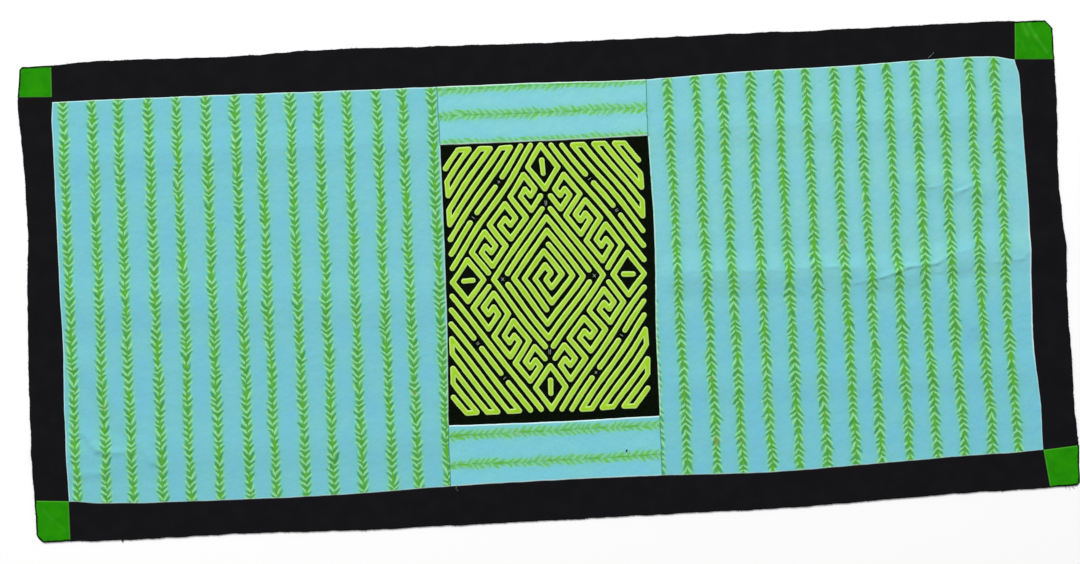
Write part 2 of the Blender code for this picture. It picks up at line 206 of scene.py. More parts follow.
# Sharper folds on top of those, from one place to another: how far each slopes away to the left of its
# run, and how far it drops to the right, which lies in shade where the fold runs along the panel
FOLD_COLUMNS = "x0 y0 x1 y1 height reach drop"
FOLDS = table_of(
    "Fold", FOLD_COLUMNS,
    (126, -1, 262, -1.5, 0.7, 14, 26),
    (262, -1.5, 300, -4, 0.9, 14, 20),
    (190, -3.5, 236, -5, 0.2, 4, 2),
    (262, -1.5, 285, -3, 0.3, 4, 3),
    (240, -20, 257, -30.5, 0.3, 5, 2.4),
    (298, -20, 325, -15.5, 0.45, 6, 3.5),
    (325, -15.5, 341, -11, 1.1, 6, 3),
    (341, -11, 352, -6.5, 1.3, 6, 3),
    (352, -6.5, 380, -4.5, 1.15, 6, 3),
    (380, -4.5, 394, 3.5, 0.95, 5, 3),
    (394, 3.5, 416, 8, 0.35, 5, 3),
    (382, -12, 390, -32, 0.8, 6, 3),
    (390, -32, 403, -57, 0.6, 5, 3),
    (403, -57, 413, -70, 0.7, 5, 3),
    (401, -23, 416, -43, 0.4, 5, 3),
    (400, 64, 410, 66.5, 1.0, 4, 3),
    (410, 66.5, 421, 71, 1.0, 4, 3),
    (377, 71, 389, 72.5, 0.5, 4, 3),
    (404, 90, 420, 88, 0.14, 5, 3),
    (431, 140, 471, 139, 0.25, 8, 6),
    (458, 106, 472, 99, 0.45, 5, 3),
    (455, 111, 458, 104, 0.15, 4, 2.4),
    (437, -6, 466, -4, 0.4, 5, 3),
    (466, -4, 473, 3, 0.5, 5, 3),
    (453, -101.6, 473, -101.6, 0.35, 4, 2.6),
    (455, -70.8, 474, -70.8, 0.35, 4, 2.6),
    (460, -57, 474, -58, 0.25, 3, 2.4),
    (459, -84, 473, -85.5, 0.3, 3, 2.4),
    (440, -168, 474, -167, 0.15, 6, 5),
    (126, 141, 431, 140, 0.14, 8, 6),
    (-476, 140, -128, 140, 0.14, 8, 6),
    (-244, -6, -228, -13, 0.3, 4, 2.4),
    (-460, -127, -446, -145, 1.7, 16, 7),
    (-446, -145, -432, -149, 0.8, 9, 7),
    (-466, -168, -441, -167, 0.8, 13, 9),
    (-432, -148, -415, -149, 0.8, 9, 8),
    (-405, -141, -394, -160, 1.2, 10, 7),
    (-476, -149, -459, -150, 0.2, 6, 4),
)


def curve_through(table, place, value):
    """A smooth line through two columns of a table, held level past its ends."""
    places = [getattr(row, place) for row in table]
    values = [getattr(row, value) for row in table]
    last = len(places) - 1

    def slope(i):
        before, after = max(i - 1, 0), min(i + 1, last)
        return (values[after] - values[before]) / (places[after] - places[before])

    slopes = [slope(i) for i in range(last + 1)]

    def at(where):
        if where <= places[0]:
            return values[0]
        if where >= places[last]:
            return values[last]
        i = bisect.bisect_right(places, where) - 1
        width = places[i + 1] - places[i]
        t = (where - places[i]) / width
        rise = t * t * (3 - 2 * t)
        leave = t * (1 - t) ** 2 * width
        arrive = t * t * (t - 1) * width
        return values[i] + (values[i + 1] - values[i]) * rise + slopes[i] * leave + slopes[i + 1] * arrive

    return at


def uneven(*place):
    """A smooth unevenness about a place, between -1 and 1, the same in each run."""
    return noise.noise(Vector(place))


def hand_made(seam, amount, seed):
    """A seam or an edge with the small waver that sewing and pressing give it."""
    def at(where):
        return seam(where) + amount * (uneven(where / 13, seed, 0.5) + 0.4 * uneven(where / 4.5, seed, 7.5))

    return at


SEAM_WAVER = 0.3
EDGE_WAVER = 0.75
seams = {name: curve_through(ALONG, "x", name) for name in ALONG[0]._fields[1:]}
seams.update({name: curve_through(ACROSS, "y", name) for name in ACROSS[0]._fields[1:]})
seams["mola_bottom"] = curve_through(MOLA_EDGES, "x", "bottom")
seams["mola_top"] = curve_through(MOLA_EDGES, "x", "top")
plain_seams = dict(seams)
for count, (name, seam) in enumerate(plain_seams.items()):
    seams[name] = hand_made(seam, EDGE_WAVER if name.startswith("outer") else SEAM_WAVER, 3.1 * count)


def mix(low, high, share):
    return low * (1 - share) + high * share


def away_from(crease, x, y):
    """How far a place is from a crease, and whether it lies to the left of the crease's run."""
    run_x, run_y = crease.x1 - crease.x0, crease.y1 - crease.y0
    out_x, out_y = x - crease.x0, y - crease.y0
    along = (out_x * run_x + out_y * run_y) / (run_x**2 + run_y**2)
    along = min(max(along, 0.0), 1.0)
    return math.hypot(out_x - along * run_x, out_y - along * run_y), run_x * out_y > run_y * out_x


def lay(x, y):
    """How far the cloth is lifted off the surface by its nearest broad crease."""
    highest = 0.0
    for crease in BROAD_CREASES:
        share = away_from(crease, x, y)[0] / crease.reach
        if share < 1:
            highest = max(highest, crease.height * (1 - share**2) ** 2)
    return highest


def folded(folds, x, y):
    """What a group of folds adds to the height of a cloth's upper side."""
    added = 0.0
    for fold in folds:
        distance, left = away_from(fold, x, y)
        share = distance / (fold.reach if left else fold.drop)
        if share < 1:
            added += fold.height * (1 - share) ** 2 * (1 + 0.3 * uneven(x / 6, y / 6, 4.5))
    return added


def worn(x, y):
    """What the sharper folds and the cloth's own slight waves add to its upper side."""
    added = 0.22 * uneven(x / 60, y / 75, 2.5)
    added += 0.09 * uneven(x / 17, y / 21, 9.5)
    added += 0.05 * uneven(x / 8, y / 9, 14.5)
    return added + folded(FOLDS, x, y)


def stations(start, length, cell, close_runs=()):
    """Where a sheet's columns or rows lie, as shares of its length: close at its seams and sharp folds."""
    first = SEAM_STATIONS[-1]
    middle = [first]
    while middle[-1] < length - first:
        close = any(low < start + middle[-1] < high for low, high in close_runs)
        middle.append(middle[-1] + (min(CLOSE_CELL, cell) if close else cell))
    squeeze = (length - 2 * first) / (middle[-1] - first)
    middle = [first + (place - first) * squeeze for place in middle[1:-1]]
    places = [*SEAM_STATIONS, *middle, *(length - place for place in reversed(SEAM_STATIONS))]
    return [place / length for place in places]


def meeting(sides, across, up):
    """The place a share across and a share up between four seams, which the cloth just passes under."""
    left, right, low, high = sides
    x, y = 0.0, 0.0
    for _ in range(4):
        x = mix(left(y) - SEAM_OVERLAP, right(y) + SEAM_OVERLAP, across)
        y = mix(low(x) - SEAM_OVERLAP, high(x) + SEAM_OVERLAP, up)
    return x, y


def rolled(distance):
    """How far a cloth's upper side has rolled down, a distance in from its turned edge."""
    left = SEAM_ROLL - min(distance, SEAM_ROLL)
    return SEAM_ROLL - math.sqrt(max(SEAM_ROLL**2 - left**2, 0.0))


def puckers(x, y, distances):
    """The small gathers that a line of stitches pulls in the cloth on either side of it."""
    total = 0.0
    for side, distance in enumerate(distances):
        if distance < PUCKER_REACH:
            along = y if side < 2 else x
            wave = uneven(along / PUCKER_LONG, distance / 9, 11.5 * side + 0.3)
            total += PUCKER_HEIGHT * wave * math.exp(-distance / 4.5) * min(distance / 1.2, 1)
    return total


def cut_corner(cloth, cuts):
    """Cuts a flat piece along lines, each given by a place on it and the way out."""
    for (x, y), (out_x, out_y) in cuts:
        bmesh.ops.bisect_plane(
            cloth,
            geom=[*cloth.verts, *cloth.edges, *cloth.faces],
            plane_co=(x * MM, y * MM, 0),
            plane_no=(out_x, out_y, 0),
            clear_outer=True,
        )


def sewn_piece(
    name, sides, kinds=ALL_DARK, cell=CELL, thick=CLOTH_THICK, cuts=(), print_at=None, paler=0.0, folds=worn
):
    """One cut piece of cloth between four seams: left, right, low and high.

    kinds says for each side whether it is a "pale" fold against dark cloth or a "dark" one, or "mola"
    where only the stretch beside the mola is pale. The cloth keeps how far each point is from both,
    and how far the folds raise it.
    """
    left, right, low, high = sides
    middle_x, middle_y = meeting(sides, 0.5, 0.5)
    columns = stations(left(middle_y), right(middle_y) - left(middle_y), cell)
    rows = stations(low(middle_x), high(middle_x) - low(middle_x), cell, CLOSE_ROWS)
    across, up = len(columns) - 1, len(rows) - 1
    cloth = bmesh.new()
    bmesh.ops.create_grid(cloth, x_segments=across, y_segments=up, size=0.5)
    for vertex in cloth.verts:
        column, row = round((vertex.co.x + 0.5) * across), round((vertex.co.y + 0.5) * up)
        x, y = meeting(sides, columns[column], rows[row])
        vertex.co = (x * MM, y * MM, 0)
    cut_corner(cloth, cuts)
    edge = cloth.verts.layers.float_vector.new("edge")
    drawn = cloth.verts.layers.float_vector.new("print")
    grown = bmesh.ops.extrude_face_region(cloth, geom=list(cloth.faces))
    upper = {item for item in grown["geom"] if isinstance(item, bmesh.types.BMVert)}
    for vertex in cloth.verts:
        x, y = vertex.co.x / MM, vertex.co.y / MM
        distances = [x - left(y), right(y) - x, y - low(x), high(x) - y]
        cut_distances = [
            (cut_x - x) * out_x + (cut_y - y) * out_y for (cut_x, cut_y), (out_x, out_y) in cuts
        ]
        beside_mola = plain_seams["mola_bottom"](x) < y < plain_seams["mola_top"](x)
        pale, dark = [FAR_FROM_EDGE], [FAR_FROM_EDGE, *cut_distances]
        for kind, distance in zip(kinds.split(), distances):
            is_pale = beside_mola if kind == "mola" else kind == "pale"
            (pale if is_pale else dark).append(distance)
        raised = folds(x, y) if vertex in upper else 0.0
        vertex[edge] = (min(pale), min(dark), raised)
        if print_at:
            vertex[drawn] = (*print_at(x, y), paler)
        bottom = lay(x, y)
        if vertex in upper:
            nearest = max(min(distances + cut_distances), 0.0)
            bottom += thick - rolled(nearest) + puckers(x, y, distances) + raised
        vertex.co.z = bottom * MM
    bmesh.ops.recalc_face_normals(cloth, faces=cloth.faces)
    piece = made(name, cloth)
    piece.data.set_sharp_from_angle(angle=SHARP_TURN)
    return piece


def flat_size(piece):
    """The width and length that a piece was cut to, without its turnings, in metres."""
    return tuple(piece.dimensions[:2])


def lay_down(piece, finish, node):
    """Gives a cut piece its finish and lays it on the table, where it stands for its solid."""
    piece.data.materials.append(finish)
    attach(piece, "root")
    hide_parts(node)
    flat_size(piece)


class Value:
    """A socket in a finish. Sums and products of these add the nodes that work them out."""

    def __init__(self, tree, socket):
        self.tree = tree
        self.socket = socket

    def node(self, kind, settings, sockets, out=0):
        """Adds any node: its settings first, then the values or the links of its sockets."""
        added = self.tree.nodes.new("ShaderNode" + kind)
        for name, value in settings.items():
            setattr(added, name, value)
        for name, value in sockets.items():
            if isinstance(value, Value):
                self.tree.links.new(value.socket, added.inputs[name])
            else:
                added.inputs[name].default_value = value
        return Value(self.tree, added.outputs[out])

    def other(self, out):
        return Value(self.tree, self.socket.node.outputs[out])

    def split(self):
        """The first of this place's three numbers. Its other("Y") and other("Z") are the rest."""
        return self.node("SeparateXYZ", {}, {0: self})

    def kept(self, name):
        """What the cloth keeps at each point under this name, split in three."""
        return self.node("Attribute", {"attribute_name": name}, {}, out="Vector").split()

    def into(self, shader, name):
        self.tree.links.new(self.socket, shader.inputs[name])

    def math(self, operation, *values):
        return self.node("Math", {"operation": operation}, dict(enumerate((self, *values))))

    def __add__(self, other):
        return self.math("ADD", other)

    __radd__ = __add__

    def __mul__(self, other):
        return self.math("MULTIPLY", other)

    __rmul__ = __mul__

    def __sub__(self, other):
        return self.math("SUBTRACT", other)

    def __rsub__(self, other):
        return self * -1 + other

    def __truediv__(self, other):
        return self.math("DIVIDE", other)

    def fade(self, start, end):
        """0 at start and 1 at end, smoothly."""
        return self.node("MapRange", {"interpolation_type": "SMOOTHSTEP"}, {0: self, 1: start, 2: end})

    def colours(self, low, high):
        """From one colour to another, by this share."""
        return self.node("Mix", {"data_type": "RGBA"}, {0: self, 6: low, 7: high}, out=2)

    def times(self, other):
        """One colour multiplied by another."""
        product = {"data_type": "RGBA", "blend_type": "MULTIPLY"}
        return self.node("Mix", product, {0: 1.0, 6: self, 7: other}, out=2)

    def at(self, x, y, z):
        return self.node("CombineXYZ", {}, {0: x, 1: y, 2: z})

    def noise(self, scale, detail=2.0):
        """Noise from 0 to 1 at this place."""
        return self.node("TexNoise", {}, {"Vector": self, "Scale": scale, "Detail": detail})

    def chance(self):
        """A number from 0 to 1, another for each place."""
        return self.node("TexWhiteNoise", {"noise_dimensions": "3D"}, {"Vector": self})


def paint(red, green, blue):
    """A colour as a screen shows it, from 0 to 255, for a shader."""
    def straight(value):
        value /= 255
        return value / 12.92 if value <= 0.04045 else ((value + 0.055) / 1.055) ** 2.4

    return (straight(red), straight(green), straight(blue), 1)


def cotton(name, roughness, gloss, colour_at, pitch, depth, lumps=0.0):
    """A cloth's finish: its colour at each place, and the threads of a plain weave, in metres.

    The threads are raised and lowered in turn, with their slubs and the cloth's soft lumps.
    """
    material, shader = plain_finish(name, roughness, gloss)
    tree = material.node_tree
    place = Value(tree, tree.nodes.new("ShaderNodeTexCoord").outputs["Object"])
    colour_at(place).into(shader, "Base Color")
    x = place.split()
    warp = (x * (2 * math.pi / pitch)).math("SINE")
    weft = (x.other("Y") * (2 * math.pi / pitch)).math("SINE")
    slubs = place.noise(0.35 / pitch, 3.0)
    height = warp * weft * (0.5 * depth) + slubs * (1.5 * depth) + place.noise(120.0, 2.0) * lumps
    height.node("Bump", {}, {"Strength": 1.0, "Distance": 1.0, "Height": height}).into(shader, "Normal")
    return material


# The print: how far apart its rows of leaves are, and where the rows of each piece lie
STRIPE_PITCH = 27.6
LEFT_FIRST = -496.3
LEFT_REPEAT = (28.3, 28.7, 25.2, 28.9, 27.5)
LEFT_ROWS = 17
LEFT_LEAN = (1.5, -1.2)
LEFT_END = -480
LEFT_LONG = 380
PANEL_TOP = 195
PANEL_HIGH = 395
RIGHT_ROWS = (
    98.0, 125.0, 153.3, 178.4, 206.8, 234.4, 261.5, 289.8, 315.0, 343.0, 370.0, 396.8, 425.3, 450.3, 490.0,
)
RIGHT_BOW = 2.6
BOW_AT = -60
BOW_REACH = 70
BOW_FROM = 300
BOW_GROWS_OVER = 120
UPPER_ROWS = (135.6, 163.4, 190.6)
LOWER_ROWS = (-204.5, -177.2, -148.8)
# Each piece's rows are counted on from a number of its own, so that no two rows are alike
RIGHT_COUNT = 30
UPPER_COUNT = 60
LOWER_COUNT = 80


def stripe_count(places, at):
    """Where a place lies about its nearest row, in steps of the pitch, with each row at a whole number."""
    i = min(range(len(places)), key=lambda k: abs(at - places[k]))
    return i + min(max((at - places[i]) / STRIPE_PITCH, -0.49), 0.49)


left_rows = [LEFT_FIRST]
while len(left_rows) < LEFT_ROWS:
    left_rows.append(left_rows[-1] + LEFT_REPEAT[(len(left_rows) - 1) % len(LEFT_REPEAT)])


def print_on_left(x, y):
    """The left panel's leaves point up the cloth, and its rows lean from its top to its foot."""
    lean = mix(*LEFT_LEAN, (x - LEFT_END) / LEFT_LONG) * (PANEL_TOP - y) / PANEL_HIGH
    return stripe_count(left_rows, x - lean), y


def print_on_right(x, y):
    """The right panel's leaves point the other way, and its last rows bow below the middle."""
    grown = min(max((x - BOW_FROM) / BOW_GROWS_OVER, 0), 1)
    bow = RIGHT_BOW * math.exp(-(((y - BOW_AT) / BOW_REACH) ** 2)) * grown
    return RIGHT_COUNT + stripe_count(RIGHT_ROWS, x + bow), -y


def print_above(x, y):
    return UPPER_COUNT + stripe_count(UPPER_ROWS, y), -x


def print_below(x, y):
    return LOWER_COUNT + stripe_count(LOWER_ROWS, y), x


GROUND_LEFT = paint(118, 193, 207)
GROUND_RIGHT = paint(131, 202, 209)
GROUND_RIGHT_LOW = paint(118, 195, 211)
GROUND_GREENER = (1.03, 1.02, 0.97, 1)
GROUND_BLUER = (0.96, 0.98, 1.04, 1)
UNFADED = (1.1, 1.09, 1.06, 1)
HALO = paint(112, 198, 180)
MIDDLE = paint(102, 182, 108)
MIDDLE_DEEP = paint(90, 168, 82)
PALE_LEAF = paint(150, 220, 156)
LEAF = paint(66, 146, 56)
LEAF_TIP = paint(60, 146, 94)
LEAF_FRESH = paint(112, 200, 62)
PALE_FRESH = paint(140, 216, 116)
TWIG = paint(64, 158, 66)
SPINE = paint(90, 174, 46)
RUST = paint(160, 150, 96)
# The pale of the turned folds: partly a worn fold, partly a painted highlight where the fold catches the
# light
FOLD_WORN_AND_HIGHLIT = paint(224, 244, 244)
SEAM_SHADE = paint(92, 150, 150)
STROKE_PITCH = 6.8
STROKE_LEAN = 0.95
STRIPE_REACH = 5.3


def print_colours(place):
    """Rows of short slanting leaves, dark and pale in turn, on both sides of an uneven stem."""
    count = place.kept("print")
    along = count.other("Y")
    paler = count.other("Z")
    stripe = count.math("ROUND")
    wander = place.at(stripe * 3.7, along / 50, 0.0).noise(1.0) - 0.5
    shake = place.at(stripe * 2.9, along / 9, 2.0).noise(1.0, 1.0) - 0.5
    brush = place.at((count - stripe) * 8, along / 3.2, stripe * 1.9).noise(1.0, 1.0) - 0.5
    along = along + brush * 2.4
    across = (count - stripe) * STRIPE_PITCH - wander * 4.5 - shake * 2.2 + brush * 1.2
    side = across.math("SIGN")
    away = across.math("ABSOLUTE")
    swell = place.at(stripe * 5.3, along / 19, 4.0).noise(1.0, 2.0)
    reach = (swell * 1.15 + 0.42) * STRIPE_REACH
    hurry = place.at(stripe * 2.1, along / 20, 8.0).noise(1.0, 1.0) - 0.5
    stray = place.at(stripe * 1.7, along / 15, side * 3 + 20).noise(1.0, 1.0) - 0.5
    lean = place.at(stripe * 1.3, along / 30, side * 3 + 40).noise(1.0, 1.0) + (STROKE_LEAN - 0.5)
    phase = (along - away * lean) / STROKE_PITCH + hurry * 1.2 + stray * 1.4
    off_stroke = (phase.math("FRACT") - 0.5).math("ABSOLUTE")
    leaf_count = phase.math("FLOOR")
    long = place.at(leaf_count, stripe, side).chance()
    broad = place.at(leaf_count + 0.5, stripe, side).chance()
    half = broad * 0.08 + 0.12 - away * 0.006 - paler * 0.02
    tip = reach * (long * 0.4 + 0.78)
    stroke = off_stroke.fade(half + 0.09, half - 0.09) * away.fade(tip + 0.8, tip - 1.4)
    pale_tip = reach * (broad * 0.45 + 0.72)
    pale = off_stroke.fade(0.31, 0.43) * away.fade(pale_tip + 0.8, pale_tip - 1.0)
    halo = away.fade(reach + 6.5, reach - 1.5)
    middle = away.fade(reach * 0.8 + 1.2, reach * 0.8 - 1.6)
    clump = place.at(stripe * 4.1, along / 13, 31.0).noise(1.0, 2.0)
    thick = clump * 6 - 2.7
    stem = away.fade(thick + 0.6, thick - 0.6)
    rust = place.at(stripe * 6.1, along / 16, 51.0).noise(1.0, 1.0).fade(0.68, 0.8) * away.fade(3.5, 0.5)
    x = place.split()
    on_right = x.other("Y").fade(-0.07, 0.02).colours(GROUND_RIGHT_LOW, GROUND_RIGHT)
    ground = x.fade(-0.4, 0.4).colours(GROUND_LEFT, on_right)
    tint = place.noise(28.0, 2.0).fade(0.3, 0.7).colours(GROUND_GREENER, GROUND_BLUER)
    colour = ground.times(tint).times(paler.colours((1, 1, 1, 1), UNFADED))
    colour = (halo * (0.65 - paler * 0.35)).colours(colour, HALO)
    core = away.fade(0.4, 3.2).colours(MIDDLE_DEEP, MIDDLE)
    colour = (middle * (1 - paler * 0.5)).colours(colour, core)
    pale_leaf = (paler * 0.8).colours(PALE_LEAF, PALE_FRESH)
    colour = (pale * (1 - paler * 0.3)).colours(colour, pale_leaf)
    leaf = (paler * 0.85).colours(away.fade(1.0, 5.0).colours(LEAF, LEAF_TIP), LEAF_FRESH)
    colour = (stroke * (long * 0.5 + paler * 0.4 + 0.5)).colours(colour, leaf)
    colour = (stem * (1 - paler * 0.2)).colours(colour, clump.fade(0.45, 0.62).colours(TWIG, SPINE))
    colour = (rust * 0.4).colours(colour, RUST)
    # A pale line is painted along the turned folds against dark cloth, wider and stronger on a stretch of
    # the right seam: partly a worn fold, partly a painted highlight where the fold catches the light
    fold = place.kept("edge")
    at_end = x.fade(0.44, 0.46) * x.other("Y").fade(0.07, 0.02) * x.other("Y").fade(-0.12, -0.09)
    rubbed_and_highlit = place.noise(60.0, 1.0) * 0.6 + at_end * 0.35 + paler * 0.25 + 0.15
    colour = (fold.fade(at_end * 0.6 + 1.5, 0.7) * rubbed_and_highlit).colours(colour, FOLD_WORN_AND_HIGHLIT)
    colour = (fold.other("Y").fade(0.8, 0.2) * 0.7).colours(colour, SEAM_SHADE)
    grain = place.noise(900.0).fade(0.3, 0.7).colours((0.95, 0.96, 0.96, 1), (1.03, 1.03, 1.02, 1))
    return colour.times(grain)


PRINTED = cotton("printed_cotton", 0.85, 0.12, print_colours, 0.0005, 0.00004, 0.0005)
PRINTED_PIECES = table_of(
    "Printed", "name left right low high kinds print_at paler",
    (
        "side_panel_left", "seam_left", "mola_left", "seam_bottom", "seam_top",
        "pale mola pale pale", print_on_left, 0.0,
    ),
    (
        "side_panel_right", "mola_right", "seam_right", "seam_bottom", "seam_top",
        "mola pale pale pale", print_on_right, 0.0,
    ),
    (
        "infill_above_mola", "mola_left", "mola_right", "mola_top", "seam_top",
        "dark dark pale pale", print_above, 1.0,
    ),
    (
        "infill_below_mola", "mola_left", "mola_right", "seam_bottom", "mola_bottom",
        "dark dark pale pale", print_below, 1.0,
    ),
)
for cut in PRINTED_PIECES:
    sides = [seams[side] for side in (cut.left, cut.right, cut.low, cut.high)]
    piece = sewn_piece("printed_" + cut.name, sides, cut.kinds, print_at=cut.print_at, paler=cut.paler)
    lay_down(piece, PRINTED, cut.name)


# The black border. Four strips of black cotton, sewn round the printed cloth, their outer edges
# turned under. The long ones end at the sides of the green squares and the short ones at their feet.
BLACK = paint(18, 18, 21)
BLACK_WORN = paint(24, 23, 27)
LINT = paint(90, 90, 96)

SQUARES = table_of(
    "Square", "name kinds top_left top_right bottom_right bottom_left cuts",
    (
        "corner_top_left", "dark pale pale dark",
        (-508.2, 231.3), (-477.5, 231.8), (-477.8, 200.3), (-510.9, 201.5),
        (((-506.9, 230.6), (-0.7, 0.7)),),
    ),
    (
        "corner_top_right", "pale dark pale dark",
        (474.0, 233.0), (511.4, 232.2), (511.2, 193.1), (471.8, 194.8),
        (((508.1, 228.6), (0.76, 0.65)),),
    ),
    (
        "corner_bottom_left", "dark pale dark pale",
        (-507.8, -190.6), (-475.1, -192.7), (-474.9, -231.0), (-507.0, -231.4),
        (
            ((-504.0, -228.3), (-0.7, -0.7)),
            ((-505.9, -226.0), (-0.9, -0.44)),
            ((-501.7, -230.4), (-0.44, -0.9)),
        ),
    ),
    (
        "corner_bottom_right", "pale dark dark pale",
        (474.7, -192.0), (510.0, -189.3), (508.6, -228.2), (479.0, -229.0),
        (((507.2, -227.2), (0.7, -0.7)),),
    ),
)
Sides = namedtuple("Sides", "left right low high")


def line_along(start, end):
    """The straight seam between two places, as y at a given x."""
    rise = (end[1] - start[1]) / (end[0] - start[0])
    return lambda x: start[1] + (x - start[0]) * rise


def line_across(start, end):
    """The straight seam between two places, as x at a given y."""
    run = (end[0] - start[0]) / (end[1] - start[1])
    return lambda y: start[0] + (y - start[1]) * run


square_sides = {
    square.name: Sides(
        line_across(square.bottom_left, square.top_left),
        line_across(square.bottom_right, square.top_right),
        line_along(square.bottom_left, square.bottom_right),
        line_along(square.top_left, square.top_right),
    )
    for square in SQUARES
}


def border_colours(place):
    wear = place.noise(60.0, 4.0).fade(0.35, 0.75)
    lint = place.noise(1500.0, 1.0).fade(0.74, 0.8)
    colour = (wear * 0.5).colours(BLACK, BLACK_WORN)
    return (lint * 0.25).colours(colour, LINT)


BORDER = cotton("black_cotton", 0.9, 0.05, border_colours, 0.0006, 0.00005)
top_left, top_right, low_right, low_left = (
    square_sides["corner_" + place] for place in ("top_left", "top_right", "bottom_right", "bottom_left")
)
BORDER_STRIPS = {
    "border_top": (top_left.right, top_right.left, seams["seam_top"], seams["outer_top"]),
    "border_bottom": (low_left.right, low_right.left, seams["outer_bottom"], seams["seam_bottom"]),
    "border_left": (seams["outer_left"], seams["seam_left"], low_left.high, top_left.low),
    "border_right": (seams["seam_right"], seams["outer_right"], low_right.high, top_right.low),
}
for name, sides in BORDER_STRIPS.items():
    lay_down(sewn_piece("black_" + name, sides), BORDER, name)


# The green squares. One at each corner of the border, of bright green cotton, with soft wrinkles.
# Their free corners were turned in by hand, so three end in a slant and one is rounded.
GREEN = paint(38, 144, 0)
GREEN_DEEP = paint(28, 132, 0)
GREEN_FOLD = paint(86, 156, 56)
# A painted highlight: the lighter green of the wrinkles' raised crests
GREEN_CREST_HIGHLIGHT = paint(74, 168, 40)
# A dark line along the squares' outer edges: partly the black backing showing, partly painted shade on the
# rolled-down edge
GREEN_BACKING_AND_SHADE = paint(8, 28, 5)
SQUARE_CELL = 1.5
SQUARE_WAVER = 0.55
WRINKLES = table_of(
    "Fold", FOLD_COLUMNS,
    (481, 230, 486, 218, 0.8, 4.5, 4),
    (488, 229, 494, 216, 0.9, 4.5, 4),
    (494, 216, 504, 200, 0.9, 5, 4),
    (479, 214, 482, 202, 0.4, 4, 3),
    (474, 197, 484, 195, 0.2, 3, 2),
    (-497, 206, -480, 206, 0.22, 2.5, 2),
    (-508, 226, -500, 228, 0.2, 4, 3),
    (-500, -200, -480, -222, 0.4, 5, 4),
    (482, -200, 504, -214, 0.2, 5, 4),
    (486, -222, 505, -220, 0.2, 4, 3),
)


def wrinkles(x, y):
    return 0.2 * uneven(x / 11, y / 13, 5.5) + folded(WRINKLES, x, y)


def square_colours(place):
    patch = place.noise(70.0, 3.0).fade(0.3, 0.7)
    pale = place.kept("edge")
    # The raised crests of the wrinkles are painted a lighter green, a painted highlight on the folds
    crest_highlight = pale.other("Z").fade(0.0, 1.0) * 0.55
    colour = crest_highlight.colours(patch.colours(GREEN_DEEP, GREEN), GREEN_CREST_HIGHLIGHT)
    colour = (pale.fade(1.4, 0.5) * 0.6).colours(colour, GREEN_FOLD)
    # A dark line is painted along the squares' outer edges and cuts: partly the black backing showing,
    # partly painted shade on the rolled-down edge
    width = place.noise(260.0, 1.0) * 1.8
    return pale.other("Y").fade(width + 1.2, width + 0.4).colours(colour, GREEN_BACKING_AND_SHADE)


SQUARE_GREEN = cotton("green_cotton", 0.9, 0.08, square_colours, 0.0005, 0.00004)
for count, square in enumerate(SQUARES):
    sides = [
        hand_made(line, SQUARE_WAVER, 40.0 + 9 * count + side) if kind == "dark" else line
        for side, (line, kind) in enumerate(zip(square_sides[square.name], square.kinds.split()))
    ]
    piece = sewn_piece(
        "green_" + square.name, sides, square.kinds, SQUARE_CELL, cuts=square.cuts, folds=wrinkles
    )
    lay_down(piece, SQUARE_GREEN, square.name)


# The mola's ground. One piece of black cotton, which shows between the lime bands laid over it and
# is pulled slightly uneven by all the stitches that hold them.
GROUND_THICK = 1.2
MOLA_BLACK = paint(3, 10, 2)
MOLA_BLACK_LIT = paint(12, 19, 9)


def pulled(x, y):
    return 0.09 * uneven(x / 5, y / 5, 6.5)


def ground_colours(place):
    return place.noise(500.0, 3.0).fade(0.4, 0.75).colours(MOLA_BLACK, MOLA_BLACK_LIT)


sides = [seams[side] for side in ("mola_left", "mola_right", "mola_bottom", "mola_top")]
mola_ground = sewn_piece("mola_black_ground", sides, thick=GROUND_THICK, folds=pulled)
ground_cotton = cotton("mola_black_cotton", 0.9, 0.05, ground_colours, 0.0005, 0.00004)
lay_down(mola_ground, ground_cotton, "mola_ground")


# The lime cloth of the mola. One cotton sheet, cut through into bands about five millimetres
# wide, whose cut edges are turned under by hand and sewn down to the black ground.
# The bands run on a slanting lattice: a counts steps up to the right, b steps up to the left.
LATTICE_X = 5.11
LATTICE_Y = 6.98
PATTERN_X = -2.7
PATTERN_Y = 0.8
BAND_WIDTH = 5.1
CLEAR_OF_CORNER = 0.5
FINE_RUN = 2.0
SHORT_RUN = 0.8
STRAIGHT_TURN = math.radians(12)
ARC_STEP = math.radians(22)
CAP_STEPS = 9
HEART_RING = 3.25
TOP_AND_BOTTOM_RING = 4.25
SIDE_RING = 5.25
KEY_FROM = 6.25
KEY_TO = 9.25
LONG_BAR = 10.25
BROKEN_BAR = 11.25
FIRST_FOLD_BACK = 12.25
FOLD_BACKS = 6
LATTICE_EDGE = 18.5
RING_GAP = 0.8
BAND_FOOT = 1.2
# The turned edge, from its foot to the flat of the band: how far in each step goes, and how far up
TURNED_EDGE = table_of(
    "Turning", "inward up",
    (-0.05, 0.35),
    (0.05, 0.35),
    (0.18, 0.25),
    (0.27, 0.17),
    (0.4, 0.1),
    (0.6, 0.05),
)
LIME = paint(168, 216, 48)
LIME_DEEP = paint(150, 202, 26)
# A painted highlight on the bands' turned rims
LIME_RIM_HIGHLIGHT = paint(200, 232, 128)
# Between these heights, in metres, the painted highlight of a turned rim gives way to the colour of the
# band's flat
RIM_TOP = 0.00243
FLAT_FROM = 0.002472


def heart_spiral():
    """Two spiral arms, one the other turned half round, drawn as one band."""
    narrow, wide = HEART_RING / 3.5, HEART_RING / 3.0
    arm = [(0.5, 0), (0.5, 1), (-1.5, 1), (-1.5, -2), (2.5, -2), (2.5, 2)]
    arm = [(a * narrow, b * wide) for a, b in arm]
    return [(-a, -b) for a, b in reversed(arm)] + arm


